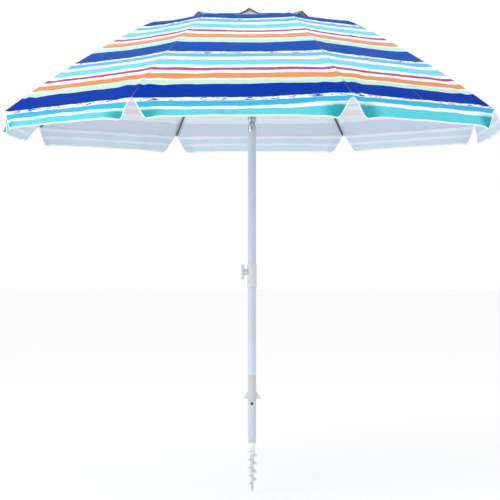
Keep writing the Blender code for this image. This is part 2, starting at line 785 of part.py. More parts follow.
def auger_radius(height, blade_share):
    """The radius at a height: the tapering core, plus this share of the blade's width."""
    share = (AUGER_NECK - height) / (AUGER_NECK - AUGER_TIP)
    core = AUGER_CORE_R * (1 - 0.68 * share)
    return core + (AUGER_BLADE_R * (1 - 0.25 * share) - core) * blade_share


def make_auger():
    """A tapered core with one blade wound round it, closed by a plug above and a point below."""
    cross = ((0.0, 0), (0.0045, 0), (0.0062, 1), (0.0078, 1), (0.0095, 0))
    count = AUGER_TURNS * AUGER_STEPS
    points = []
    for i in range(count + 1):
        turn = -2 * math.pi * i / AUGER_STEPS
        start = AUGER_NECK - AUGER_PITCH * i / AUGER_STEPS
        width = min(1.0, i / 6, (count - i) / 18)
        for drop, blade in cross:
            height = start - drop
            r = auger_radius(height, blade * width)
            points.append((r * math.cos(turn), r * math.sin(turn), height))
    width = len(cross)
    faces = []
    for i in range(count):
        for k in range(width - 1):
            at = i * width + k
            faces.append([at, at + 1, at + width + 1, at + width])
    for i in range(count - AUGER_STEPS):
        at = i * width + width - 1
        under = (i + AUGER_STEPS) * width
        faces.append([at, under, under + width, at + width])
    top_loop = [i * width for i in range(AUGER_STEPS + 1)] + [k for k in range(width - 1, 0, -1)]
    last = count - AUGER_STEPS
    end_loop = [i * width + width - 1 for i in range(last, count + 1)]
    end_loop += [count * width + k for k in range(width - 2, -1, -1)]
    peak = len(points)
    points.append((0, 0, AUGER_NECK + 0.020))
    tip = len(points)
    points.append((0, 0, AUGER_TIP))
    for loop, apex in ((top_loop, peak), (end_loop, tip)):
        for i, at in enumerate(loop):
            faces.append([at, loop[(i + 1) % len(loop)], apex])
    screw = closed_mesh("auger", points, faces)
    neck = turned_mesh("neck", [
        (0, -0.0462),
        (0.0112, -0.0462),
        (0.0114, -0.0120),
        (0.0155, -0.0006),
        (0.0155, -0.0004),
        (PLUG_R, -0.0004),
        (PLUG_R, 0.040),
        (0, 0.040),
    ], 20)
    add_object("sand_auger", joined(neck, screw), "auger_white", True)


def main():
    clear_scene()
    make_ribs()
    make_gores()
    make_vent_cap()
    make_hub()
    make_finial()
    make_upper_tube()
    make_runner()
    make_knuckle()
    make_pole()
    make_collar()
    make_wing_knob()
    make_sleeve()
    make_handle(1, "right")
    make_handle(-1, "left")
    make_snap_button()
    make_button_spring()
    make_auger()


main()
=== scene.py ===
import json
import math

import bmesh
import bpy
from mathutils import Matrix, Vector, noise


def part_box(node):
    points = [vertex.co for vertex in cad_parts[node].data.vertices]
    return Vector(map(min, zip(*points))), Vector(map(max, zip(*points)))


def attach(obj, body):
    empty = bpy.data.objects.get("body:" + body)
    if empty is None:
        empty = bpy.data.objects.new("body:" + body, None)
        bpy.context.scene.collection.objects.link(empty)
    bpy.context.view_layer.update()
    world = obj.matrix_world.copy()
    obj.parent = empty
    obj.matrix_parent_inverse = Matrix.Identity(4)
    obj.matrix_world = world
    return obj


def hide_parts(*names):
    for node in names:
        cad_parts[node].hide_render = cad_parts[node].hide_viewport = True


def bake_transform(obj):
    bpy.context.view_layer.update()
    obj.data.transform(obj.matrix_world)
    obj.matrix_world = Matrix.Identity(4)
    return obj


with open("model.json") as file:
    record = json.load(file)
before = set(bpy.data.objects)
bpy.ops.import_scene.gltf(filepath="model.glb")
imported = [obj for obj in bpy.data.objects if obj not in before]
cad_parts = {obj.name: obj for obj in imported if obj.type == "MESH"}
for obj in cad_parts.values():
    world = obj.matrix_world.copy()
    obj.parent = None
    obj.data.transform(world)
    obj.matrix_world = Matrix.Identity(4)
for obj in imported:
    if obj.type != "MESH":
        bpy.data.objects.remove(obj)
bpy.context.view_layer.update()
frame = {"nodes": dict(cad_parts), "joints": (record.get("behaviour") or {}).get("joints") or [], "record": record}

# The canopy's shape, as in the part. Metres, +Z up.
GORES = 8
RIB_STEP = 2 * math.pi / GORES
HALF_STEP = RIB_STEP / 2
FIRST_RIB = math.radians(-67.5)
JOINTS = {joint["name"]: joint for joint in frame["joints"]}
RIM_X, RIM_Y, RIM_Z = JOINTS["gore_1_left_fold"]["pos_m"]
RIM_R = math.hypot(RIM_X, RIM_Y)
CROWN_Z = 1.657
KINK_R = 0.407
KINK_Z = 1.616
ARC_STEP = math.radians(9.8)
VENT_SHARE = 0.596
CAP_R = 0.300
CAP_LIFT = 0.0045
CAP_EDGE_LIFT = 0.0017
CAP_PUFF = 0.020
CAP_ARCH = 0.038
CROWN_PATCH_R = 0.042
FLAP_LENGTH = 0.080
FLAP_HANG = math.radians(30)
FLAP_HANG_AT_RIB = math.radians(26)
FLAP_CORNER = 0.020
FLAP_SLANT = 0.045
# Allowance in the flaps' flat area for their slanted sides
FLAP_FILL = 0.93

# The pole and its anchor, as in the part
TUBE_WALL = {"lower_tube": 0.0016, "mast_tube": 0.0016, "slide_tube": 0.0019}
PLUG_R = 0.0141
FINIAL_HEIGHT = 0.0193
FINIAL_RIM = 0.0016
FINIAL_NECK_R = 0.008
FINIAL_NECK = 0.0077
SLEEVE_FLUTES = 12
AUGER_NECK = -0.012
AUGER_PITCH = 0.031
AUGER_TURNS = 5
AUGER_BLADE_R = 0.025
AUGER_CORE_R = 0.0105
# The auger's neck below the tube and its plug inside it: (radius, height)
SHOULDER = (
    (0, -0.0462),
    (0.0108, -0.0462),
    (0.0112, -0.0440),
    (0.0114, -0.0150),
    (0.0120, -0.0110),
    (0.0149, -0.0016),
    (0.0153, -0.0008),
    (0.0153, -0.0004),
    (PLUG_R, -0.0004),
    (PLUG_R, 0.0400),
    (0, 0.0400),
)

# The cloth
CLOTH = 0.0006
SAG = 0.006
FLAP_ROWS = 18
HEM_ROWS = 3
HEM_WIDTH = 0.0055
SIDE_HEM_WIDTH = 0.0035
HEM_THICK = 0.0024

# The printed stripes, upwards from the rim: where each starts, as a share of the repeat
REPEAT = 0.29775
FIRST_STRIPE = -0.0035
STRIPES = (
    (0.000, "royal"),
    (0.257, "white"),
    (0.263, "mint"),
    (0.347, "white"),
    (0.380, "orange"),
    (0.491, "white"),
    (0.557, "magenta"),
    (0.614, "white"),
    (0.680, "cyan"),
    (0.800, "white"),
    (0.872, "sky"),
    (0.953, "white"),
)
# The same downwards on the valance, in metres from the rim
VALANCE_STRIPES = ((0.0, "white"), (0.0170, "azure"), (0.0385, "white"), (0.0500, "turquoise"))
# The cloth is pulled tighter near the rim, which spreads the print there
PULL = 0.0125
PULLED_LENGTH = 0.592
# and one gore, with half of the gore beside it, was sewn a little askew
PRINT_SLIP = 0.021
SLIP_REACH = 0.20
INKS = {
    "white": (0.90, 0.91, 0.92),
    "royal": (0.0, 0.036, 0.38),
    "mint": (0.50, 0.79, 0.60),
    "orange": (0.78, 0.285, 0.10),
    "magenta": (0.43, 0.058, 0.18),
    "cyan": (0.175, 0.64, 0.83),
    "sky": (0.13, 0.455, 0.73),
    "azure": (0.04, 0.43, 0.74),
    "turquoise": (0.10, 0.60, 0.69),
}


# Where the cloth lies


def canopy_profile(share):
    """The cloth's (radius, height) along a rib: 0 at the pole, 1 at the kink, 2 at the rim."""
    if share <= 1:
        return KINK_R * share, CROWN_Z + (KINK_Z - CROWN_Z) * share
    chord = math.hypot(RIM_R - KINK_R, KINK_Z - RIM_Z)
    radius = chord / (2 * math.sin(ARC_STEP / 2))
    start = math.atan2(KINK_Z - RIM_Z, RIM_R - KINK_R) - ARC_STEP / 2
    angle = start + ARC_STEP * (share - 1)
    x = KINK_R + radius * (math.sin(angle) - math.sin(start))
    z = KINK_Z + radius * (math.cos(angle) - math.cos(start))
    return x, z


def soft_profile(share):
    """The same with the kink rounded, as cloth goes over a bent rib."""
    reach = 0.035
    spots = [canopy_profile(share + reach * step) for step in (-1, -0.5, 0, 0.5, 1)]
    if share > 2 - reach or share < reach:
        return canopy_profile(share)
    return sum(x for x, _ in spots) / 5, sum(z for _, z in spots) / 5


def distances_up():
    """The cloth's distance up a gore's middle line from the rim, at even steps of share from 2 down to 0."""
    steps = 200
    table = [0.0]
    x0, z0 = canopy_profile(2)
    for i in range(1, steps + 1):
        x, z = canopy_profile(2 - 2 * i / steps)
        table.append(table[-1] + math.hypot((x - x0) * math.cos(HALF_STEP), z - z0))
        x0, z0 = x, z
    return table


UP_TABLE = distances_up()


def distance_up(share):
    at = (2 - share) / 2 * (len(UP_TABLE) - 1)
    low = min(int(at), len(UP_TABLE) - 2)
    return UP_TABLE[low] + (UP_TABLE[low + 1] - UP_TABLE[low]) * (at - low)


def smooth(value, low, high):
    """0 below low, 1 above high, and a soft step between them."""
    part = min(1.0, max(0.0, (value - low) / (high - low)))
    return part * part * (3 - 2 * part)


def rib_turn(number):
    return FIRST_RIB + RIB_STEP * (number - 1)


def placed(point, number):
    """A point of the XZ plane's rib, turned to the rib of that number."""
    return Matrix.Rotation(rib_turn(number), 3, "Z") @ Vector(point)


class HalfGore:
    """One side of one rib's cloth. Across is 0 at the rib and 1 at the gore's middle line."""

    def __init__(self, number, label):
        self.number = number
        self.label = label
        self.side = 1 if label == "left" else -1
        self.gore = number if label == "left" else (number - 2) % GORES + 1
        along = Vector((-math.sin(HALF_STEP), math.cos(HALF_STEP) * self.side, 0))
        self.along = along
        self.out = Vector((math.cos(HALF_STEP), math.sin(HALF_STEP) * self.side, 0))

    def chord(self, radius, height, across):
        half = radius * math.sin(HALF_STEP)
        spot = Vector((radius, 0, height)) + self.along * half * across
        return spot, half * across, half * (1 - across)

    def slip(self, up, from_middle):
        """How far the print has slipped up near the rim."""
        spread = (1 - smooth(up, 0.0, SLIP_REACH)) * (1 - 0.5 * smooth(-up, 0.020, 0.055))
        if self.gore == 1:
            return PRINT_SLIP * spread
        if (self.number, self.label) == (1, "right"):
            return PRINT_SLIP * spread * smooth(from_middle, 0.0, RIM_R * math.sin(HALF_STEP))
        return 0.0

    def cloth_uv(self, up, from_middle):
        """Distance across the gore and up the unpulled print. Each gore has its own stretch of print."""
        pull = PULL * math.sin(math.pi * up / PULLED_LENGTH) if 0 < up < PULLED_LENGTH else 0.0
        return (-self.side * from_middle + 3.0 * self.gore, up - pull - self.slip(up, from_middle))

    def ripple(self, up, from_middle):
        u = -self.side * from_middle
        seed = 7.3 * self.gore
        broad = noise.noise((u * 5 + seed, up * 3.5, seed))
        fine = noise.noise((u * 16 + seed, up * 11, seed + 4))
        return 0.0022 * broad + 0.0007 * fine

    def creases(self, up, from_rib):
        """Pulls that fan out from where the rib's tip holds the cloth."""
        far = math.hypot(up, from_rib)
        if far < 1e-6:
            return 0.0
        turn = math.atan2(from_rib, up)
        strength = 0.0042 * smooth(far, 0.005, 0.045) * math.exp(-far / 0.13)
        return strength * math.cos(9 * turn + self.gore + self.side)

    def panel(self, share, across):
        """(point, cloth uv, distance from the rib) on the gore above the rim."""
        radius, height = soft_profile(share)
        spot, from_rib, from_middle = self.chord(radius, height, across)
        up = distance_up(share)
        span = (share - VENT_SHARE) / (2 - VENT_SHARE)
        free = smooth(from_rib, 0.004, 0.05)
        sag = SAG * (1 - (1 - across) ** 2) * math.sin(math.pi * span)
        edge = smooth(up, 0.0, 0.06)
        calm = smooth(share, 0.78, 1.05)
        lift = free * edge * calm * self.ripple(up, from_middle) - sag
        lift += smooth(from_rib, 0.001, 0.010) * self.creases(up, from_rib)
        lift += 0.0006 * (1 - smooth(from_rib, 0.0030, 0.0042))
        spot += (self.out * 0.35 + Vector((0, 0, 0.94))) * lift
        return spot, self.cloth_uv(up, from_middle), from_rib

    def swing(self, place, down):
        """How far a point of the valance stands out from where it would hang, along the gore."""
        seed = 2.1 * self.gore
        wave = 0.006 * math.sin(2 * math.pi * place / 0.230 + seed)
        wave += 0.0035 * math.sin(2 * math.pi * place / 0.093 + 2.3 * seed)
        return wave * down ** 1.4

    def flare(self, from_rib):
        """Extra hang where a corner of the valance stands out."""
        corners = {(6, "left"): 26, (7, "right"): -14, (2, "left"): 14, (3, "right"): -8, (4, "right"): 6}
        extra = math.radians(corners.get((self.number, self.label), 0))
        return extra * (1 - smooth(from_rib, 0.02, 0.22))

    def inset(self, down):
        """How far the valance's side edge has drawn back from the rib, with a round corner at the bottom."""
        left = FLAP_LENGTH * (1 - down)
        edge = 0.0012 + FLAP_SLANT * down
        if left < FLAP_CORNER:
            edge += FLAP_CORNER - math.sqrt(FLAP_CORNER ** 2 - (FLAP_CORNER - left) ** 2)
        return edge

    def valance(self, down, across):
        """(point, cloth uv, distance from the rib): down is 0 at the rim and 1 at the lower edge."""
        half = RIM_R * math.sin(HALF_STEP)
        start = self.inset(down) if down > 0 else 0.0
        from_rib = start + (half - start) * across
        from_middle = half - from_rib
        spot = Vector((RIM_R, 0, RIM_Z)) + self.along * from_rib
        share = from_rib / half
        hang = FLAP_HANG_AT_RIB + (FLAP_HANG - FLAP_HANG_AT_RIB) * smooth(share, 0.0, 0.8)
        hang += self.flare(from_rib)
        hang -= math.radians(20) * down * (1 - smooth(from_rib, 0.02, 0.10))
        drop = FLAP_LENGTH * down
        soft = 0.7 + 0.3 * smooth(drop, 0.0, 0.03)
        lean = self.out * math.sin(hang) * drop * soft - Vector((0, 0, math.cos(hang) * drop))
        swing = self.out * self.swing(-self.side * from_middle, down)
        return spot + lean + swing, self.cloth_uv(-drop, from_middle), from_rib

    def cap(self, radius, across):
        """(point, cloth uv, distance from the rib) on the vent's cap."""
        height = canopy_profile(radius / KINK_R)[1]
        height += CAP_LIFT + (CAP_EDGE_LIFT - CAP_LIFT) * smooth(radius, CROWN_PATCH_R, CAP_R)
        spot, from_rib, from_middle = self.chord(radius, height, across)
        near = max(0.0, 1 - from_middle / (CAP_ARCH * radius / CAP_R))
        arch = near ** 1.25
        spot.z += CAP_PUFF * arch * smooth(radius, 0.17, CAP_R)
        from_edge = distance_up(radius / KINK_R) - distance_up(CAP_R / KINK_R)
        return spot, self.cloth_uv(from_edge - FLAP_LENGTH, from_middle), from_rib


# Meshes


def grid_mesh(name, rows, flip):
    """A sheet through rows of (point, uv, distance from the rib)."""
    mesh = bpy.data.meshes.new(name)
    width = len(rows[0])
    points = [tuple(p) for row in rows for p, _, _ in row]
    faces = []
    for j in range(len(rows) - 1):
        for i in range(width - 1):
            at = j * width + i
            face = [at, at + 1, at + width + 1, at + width]
            faces.append(face[::-1] if flip else face)
    mesh.from_pydata(points, [], faces)
    flat = [item for row in rows for item in row]
    cloth = mesh.uv_layers.new(name="cloth")
    seam = mesh.uv_layers.new(name="seam")
    for loop in mesh.loops:
        _, uv, from_rib = flat[loop.vertex_index]
        cloth.data[loop.index].uv = uv
        seam.data[loop.index].uv = (from_rib, uv[1])
    mesh.shade_smooth()
    return mesh


def add_piece(name, mesh, *finishes):
    piece = bpy.data.objects.new(name, mesh)
    bpy.context.scene.collection.objects.link(piece)
    for finish in finishes:
        mesh.materials.append(finish)
    return piece


def thicken(piece, thickness):
    """Gives a sheet its thickness, with the second finish inside and at the rim."""
    shell = piece.modifiers.new("thickness", "SOLIDIFY")
    shell.thickness = thickness
    shell.offset = -1
    shell.material_offset = 1
    shell.material_offset_rim = 1
    shell.use_even_offset = False


def across_steps(count):
    return [0.5 - 0.5 * math.cos(math.pi * i / count) for i in range(count + 1)]


def fold_with(piece):
    """Bakes the piece's placement into its mesh."""
    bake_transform(piece)


def flap_row(number):
    """How far down the valance a row of its mesh lies. The rows are closer towards the lower edge."""
    return 1 - (1 - number / FLAP_ROWS) ** 1.5


def make_panel(half, cloth, lining):
    columns = across_steps(26)
    slope = [VENT_SHARE + (2 - VENT_SHARE) * i / 58 for i in range(59)]
    rows = [[half.panel(share, c) for c in columns] for share in slope]
    rows += [[half.valance(flap_row(i), c) for c in columns] for i in range(1, FLAP_ROWS + 1)]
    rows = [[(placed(p, half.number), uv, d) for p, uv, d in row] for row in rows]
    name = f"canopy_{half.number}_{half.label}"
    piece = add_piece(name, grid_mesh(name, rows, half.side > 0), cloth, lining)
    thicken(piece, CLOTH)
    return piece


def strip_mesh(name, edge, inner, width_points):
    """A folded tape over a sheet's edge. edge and inner are matching points on the sheet."""
    rings = []
    for i, (outside, inside) in enumerate(zip(edge, inner)):
        before, after = edge[max(i - 1, 0)], edge[min(i + 1, len(edge) - 1)]
        inward = (inside - outside).normalized()
        normal = (after - before).cross(inward).normalized()
        half = HEM_THICK / 2
        ring = [inside + normal * half * 0.8, outside + normal * half]
        for step in range(1, width_points):
            turn = math.pi * step / width_points
            ring.append(outside + normal * half * math.cos(turn) - inward * half * math.sin(turn))
        ring += [outside - normal * half, inside - normal * half * 0.8]
        rings.append(ring)
    count = len(rings[0])
    points = [tuple(p) for ring in rings for p in ring]
    faces = [list(range(count))[::-1], list(range(len(points) - count, len(points)))]
    for i in range(len(rings) - 1):
        for k in range(count):
            n = (k + 1) % count
            faces.append([i * count + k, i * count + n, (i + 1) * count + n, (i + 1) * count + k])
    mesh = bpy.data.meshes.new(name)
    mesh.from_pydata(points, [], faces)
    work = bmesh.new()
    work.from_mesh(mesh)
    bmesh.ops.recalc_face_normals(work, faces=work.faces)
    work.to_mesh(mesh)
    work.free()
    mesh.shade_smooth()
    mesh.set_sharp_from_angle(angle=math.radians(60))
    return mesh


def make_hem(half, finish):
    """The white tape along the valance's side and bottom edges."""
    width = RIM_R * math.sin(HALF_STEP)
    corner_row = FLAP_ROWS - HEM_ROWS
    corner = half.inset(flap_row(corner_row)) + SIDE_HEM_WIDTH

    def inside(row, from_rib):
        down = flap_row(row)
        start = half.inset(down)
        return half.valance(down, (from_rib - start) / (width - start))[0]

    edge, inner = [], []
    for row in range(1, FLAP_ROWS + 1):
        edge.append(half.valance(flap_row(row), 0)[0])
        if row <= corner_row:
            inner.append(inside(row, half.inset(flap_row(row)) + SIDE_HEM_WIDTH))
        else:
            corner += 0.0006
            inner.append(inside(corner_row, corner))
    for across in across_steps(26)[1:]:
        edge.append(half.valance(1, across)[0])
        inner.append(inside(corner_row, corner + (width - corner) * across))
    middle = half.out * CLOTH / 2
    edge = [placed(p - middle, half.number) for p in edge]
    inner = [placed(p - middle, half.number) for p in inner]
    name = f"valance_hem_{half.number}_{half.label}"
    return add_piece(name, strip_mesh(name, edge, inner, 4), finish)


def make_cap_panel(half, cloth, lining):
    columns = across_steps(20)
    radii = [CROWN_PATCH_R + (CAP_R - CROWN_PATCH_R) * i / 22 for i in range(23)]
    rows = [[half.cap(r, c) for c in columns] for r in radii]
    rows = [[(placed(p, half.number), uv, d) for p, uv, d in row] for row in rows]
    name = f"vent_cap_{half.number}_{half.label}"
    piece = add_piece(name, grid_mesh(name, rows, half.side > 0), cloth, lining)
    thicken(piece, CLOTH)
    return piece


def make_cap_hem(half, finish):
    edge, inner = [], []
    for across in across_steps(20):
        edge.append(placed(half.cap(CAP_R, across)[0], half.number))
        inner.append(placed(half.cap(CAP_R - HEM_WIDTH, across)[0], half.number))
    name = f"vent_hem_{half.number}_{half.label}"
    return add_piece(name, strip_mesh(name, edge, inner, 4), finish)


def make_crown_sector(number, cloth, lining):
    """The cap's middle, which bends from the crown to its rib."""
    half = {1: HalfGore(number, "left"), -1: HalfGore(number, "right")}
    rows = []
    for radius in [0.009 + (CROWN_PATCH_R - 0.009) * i / 10 for i in range(11)]:
        row = [half[-1].cap(radius, 1 - i / 6) for i in range(6)]
        row += [half[1].cap(radius, i / 6) for i in range(7)]
        rows.append([(placed(p, number), uv, d) for p, uv, d in row])
    name = f"crown_cloth_{number}"
    piece = add_piece(name, grid_mesh(name, rows, True), cloth, lining)
    thicken(piece, CLOTH)
    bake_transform(piece)
    return piece


def half_panel_area():
    rows = [canopy_profile(VENT_SHARE + (2 - VENT_SHARE) * i / 40)[0] for i in range(41)]
    step = distance_up(VENT_SHARE) / 40
    return sum(r * math.sin(HALF_STEP) for r in rows) * step


def make_canopy(finish):
    width = RIM_R * math.sin(HALF_STEP)
    length = distance_up(VENT_SHARE) + FLAP_LENGTH
    area = half_panel_area() + width * FLAP_LENGTH * FLAP_FILL
    for number in range(1, GORES + 1):
        for label in ("left", "right"):
            half = HalfGore(number, label)
            panel = make_panel(half, finish["print"], finish["lining"])
            fold_with(panel)
            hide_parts(f"half_gore_{number}_{label}")
            hem = make_hem(half, finish["hem"])
            fold_with(hem)
            cap = make_cap_panel(half, finish["print"], finish["lining"])
            fold_with(cap)
            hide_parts("vent_cap")
            edge = make_cap_hem(half, finish["dark_hem"])
            fold_with(edge)
        sector = make_crown_sector(number, finish["print"], finish["lining"])


# The pole's round pieces, finer than the part's


def turned_mesh(name, profile, segments=96):
    """Turns a closed profile of (radius, height), or one that starts and ends on the axis, about Z."""
    solid = profile[0][0] == 0
    work = bmesh.new()
    rows = []
    for radius, height in profile:
        if radius == 0:
            rows.append([work.verts.new((0, 0, height))] * segments)
            continue
        turns = [2 * math.pi * i / segments for i in range(segments)]
        rows.append([work.verts.new((radius * math.cos(t), radius * math.sin(t), height)) for t in turns])
    for j in range(len(rows) - 1 if solid else len(rows)):
        low, high = rows[j], rows[(j + 1) % len(rows)]
        for i in range(segments):
            k = (i + 1) % segments
            work.faces.new(dict.fromkeys((low[i], low[k], high[k], high[i])))
    bmesh.ops.recalc_face_normals(work, faces=work.faces)
    mesh = bpy.data.meshes.new(name)
    work.to_mesh(mesh)
    work.free()
    mesh.shade_smooth()
    mesh.set_sharp_from_angle(angle=math.radians(40))
    return mesh


def make_turned(node, body, slot, profile, finish):
    piece = add_piece(f"{node}_fine", turned_mesh(node, profile), finish[slot])
    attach(piece, body)
    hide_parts(node)


def tube_profile(low, high, inner, outer):
    """A tube's wall, its outer edges eased."""
    ease = 0.0004
    return [(inner, low), (outer - ease, low), (outer, low + ease),
            (outer, high - ease), (outer - ease, high), (inner, high)]


def finial_profile(low, seat, top, radius):
    """A plug and neck below, and a shallow dome over a rounded rim."""
    rim = FINIAL_RIM
    neck = seat - FINIAL_NECK
    profile = [(0, low), (PLUG_R, low), (PLUG_R, neck), (FINIAL_NECK_R, neck), (FINIAL_NECK_R, seat)]
    profile += [(radius - rim + rim * math.sin(t), seat + rim - rim * math.cos(t))
                for t in (math.pi * i / 12 for i in range(8))]
    start = seat + 2 * rim
    steps = 14
    for i in range(1, steps):
        share = i / steps
        reach = (radius - rim) * math.cos(share * math.pi / 2)
        profile.append((reach, start + (top - start) * (1 - (reach / radius) ** 1.4)))
    return profile + [(0, top)]


def make_pole(finish):
    for node, body, slot in (("lower_tube", "base", "white_tube"), ("mast_tube", "mast", "white_tube"),
                             ("slide_tube", "mast", "steel")):
        low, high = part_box(node)
        outer = high.x
        inner = outer - TUBE_WALL[node]
        make_turned(node, body, slot, tube_profile(low.z, high.z, inner, outer), finish)
    low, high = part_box("finial")
    seat = high.z - FINIAL_HEIGHT
    make_turned("finial", "canopy_post", "grey_plastic",
                finial_profile(low.z, seat, high.z, high.x), finish)


def blade_cross():
    """The blade's section down the core: (drop, share of the blade's reach), with a rounded rim."""
    root = [(0.0, 0.0), (0.0042, 0.0), (0.0050, 0.05), (0.0056, 0.16)]
    rim = [(0.0070 - 0.0008 * math.cos(t), 0.94 + 0.06 * math.sin(t)) for t in
           (math.pi * i / 4 for i in range(5))]
    foot = [(0.0084, 0.16), (0.0090, 0.05), (0.0098, 0.0)]
    return root + rim + foot


def auger_radius(height, tip, blade_share):
    share = (AUGER_NECK - height) / (AUGER_NECK - tip)
    core = AUGER_CORE_R * (1 - 0.68 * share)
    return core + (AUGER_BLADE_R * (1 - 0.25 * share) - core) * blade_share


def screw_mesh(tip):
    """A tapered core with one blade wound round it, closed above and drawn to a point below."""
    steps = 48
    count = AUGER_TURNS * steps
    cross = blade_cross()
    width = len(cross)
    work = bmesh.new()
    rows = []
    for i in range(count + 1):
        turn = -2 * math.pi * i / steps
        start = AUGER_NECK - AUGER_PITCH * i / steps
        reach = min(1.0, i / (0.375 * steps), (count - i) / (1.125 * steps))
        row = []
        for drop, blade in cross:
            r = auger_radius(start - drop, tip, blade * reach)
            row.append(work.verts.new((r * math.cos(turn), r * math.sin(turn), start - drop)))
        rows.append(row)
    for i in range(count):
        for k in range(width - 1):
            work.faces.new((rows[i][k], rows[i][k + 1], rows[i + 1][k + 1], rows[i + 1][k]))
    for i in range(count - steps):
        under = i + steps
        work.faces.new((rows[i][-1], rows[under][0], rows[under + 1][0], rows[i + 1][-1]))
    top = [rows[i][0] for i in range(steps + 1)] + rows[0][:0:-1]
    end = [rows[i][-1] for i in range(count - steps, count + 1)] + rows[count][-2::-1]
    for loop, height in ((top, AUGER_NECK + 0.015), (end, tip)):
        apex = work.verts.new((0, 0, height))
        for i, at in enumerate(loop):
            work.faces.new((at, loop[(i + 1) % len(loop)], apex))
    bmesh.ops.recalc_face_normals(work, faces=work.faces)
    mesh = bpy.data.meshes.new("auger_screw")
    work.to_mesh(mesh)
    work.free()
    mesh.shade_smooth()
    mesh.set_sharp_from_angle(angle=math.radians(60))
    return mesh


def make_auger(finish):
    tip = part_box("sand_auger")[0].z
    shoulder_mesh = turned_mesh("auger_shoulder", SHOULDER)
    for name, mesh in (("auger_screw", screw_mesh(tip)), ("auger_shoulder", shoulder_mesh)):
        piece = add_piece(name, mesh, finish["auger_white"])
        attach(piece, "base")
        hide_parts("sand_auger")


# Finishes


class Value:
    """A number that a shader node gives, with arithmetic."""

    def __init__(self, finish, socket):
        self.finish = finish
        self.socket = socket

    def math(self, operation, first, second=0.0):
        made = self.finish.node("Math", {"operation": operation}, {0: first, 1: second})
        return Value(self.finish, made.outputs[0])

    def __add__(self, other):
        return self.math("ADD", self, other)

    def __radd__(self, other):
        return self.math("ADD", other, self)

    def __sub__(self, other):
        return self.math("SUBTRACT", self, other)

    def __rsub__(self, other):
        return self.math("SUBTRACT", other, self)

    def __mul__(self, other):
        return self.math("MULTIPLY", self, other)

    def __rmul__(self, other):
        return self.math("MULTIPLY", other, self)

    def __truediv__(self, other):
        return self.math("DIVIDE", self, other)

    def __gt__(self, other):
        return self.math("GREATER_THAN", self, other)

    def __lt__(self, other):
        return self.math("LESS_THAN", self, other)

    def fraction(self):
        return self.math("FRACT", self)

    def size(self):
        return self.math("ABSOLUTE", self)

    def root(self):
        return self.math("SQRT", self)

    def turn_towards(self, other):
        """The angle of the place that is this far along Y and the other far along X."""
        return self.math("ARCTAN2", self, other)

    def cosine(self):
        return self.math("COSINE", self)

    def step(self, low, high):
        """0 below low and 1 above high."""
        made = self.finish.node("MapRange", {"interpolation_type": "SMOOTHSTEP"},
                                {"Value": self, "From Min": low, "From Max": high})
        return Value(self.finish, made.outputs["Result"])


class Finish:
    """One material and its nodes."""

    def __init__(self, name, roughness=0.5, metallic=0.0, **plain):
        self.material = bpy.data.materials.new(name)
        self.material.use_nodes = True
        self.tree = self.material.node_tree
        self.shader = self.tree.nodes["Principled BSDF"]
        self.shader.inputs["Roughness"].default_value = roughness
        self.shader.inputs["Metallic"].default_value = metallic
        for name, value in plain.items():
            self.shader.inputs[name.replace("_", " ")].default_value = value

    def node(self, kind, settings=None, sockets=None):
        made = self.tree.nodes.new("ShaderNode" + kind)
        for key, value in (settings or {}).items():
            if key == "stops":
                self.set_stops(made.color_ramp, value)
            else:
                setattr(made, key, value)
        for key, value in (sockets or {}).items():
            self.feed(made.inputs[key], value)
        return made

    def set_stops(self, ramp, stops):
        while len(ramp.elements) > 1:
            ramp.elements.remove(ramp.elements[0])
        for i, (place, colour) in enumerate(stops):
            stop = ramp.elements[0] if i == 0 else ramp.elements.new(place)
            stop.position = place
            stop.color = (*colour, 1)

    def feed(self, socket, value):
        if isinstance(value, Value):
            self.tree.links.new(value.socket, socket)
        elif isinstance(value, bpy.types.NodeSocket):
            self.tree.links.new(value, socket)
        elif isinstance(value, tuple) and len(value) == 3 and socket.type == "RGBA":
            socket.default_value = (*value, 1)
        else:
            socket.default_value = value

    def noise(self, place, scale, detail=2.0, stretch=None, roughness=0.5):
        """Noise about 0, mostly from -0.5 to 0.5."""
        if stretch:
            place = self.node("Mapping", None, {"Vector": place, "Scale": stretch}).outputs[0]
        made = self.node("TexNoise", None,
                         {"Vector": place, "Scale": scale, "Detail": detail, "Roughness": roughness})
        return Value(self, made.outputs["Fac"]) - 0.5

    def mix(self, share, first, second, blend="MIX"):
        made = self.node("Mix", {"data_type": "RGBA", "blend_type": blend},
                         {0: share, 6: first, 7: second})
        return made.outputs[2]

    def colour(self, value):
        self.feed(self.shader.inputs["Base Color"], value)

    def rough(self, value):
        self.feed(self.shader.inputs["Roughness"], value)

    def bump(self, height, distance, strength=1.0):
        made = self.node("Bump", None, {"Height": height, "Distance": distance, "Strength": strength})
        self.feed(self.shader.inputs["Normal"], made.outputs[0])

    def place(self):
        return self.node("TexCoord").outputs["Object"]

    def axes(self, place):
        parts = self.node("SeparateXYZ", None, {0: place})
        return [Value(self, parts.outputs[axis]) for axis in "XYZ"]


def ramp_stops(stripes, soft, scale=1.0):
    """Ramp stops for stripes of (start, ink), each edge blurred over soft either side."""
    stops = [(0.0, INKS[stripes[0][1]])]
    for (_, before), (start, ink) in zip(stripes, stripes[1:]):
        stops.append((start * scale - soft, INKS[before]))
        stops.append((start * scale + soft, INKS[ink]))
    return stops


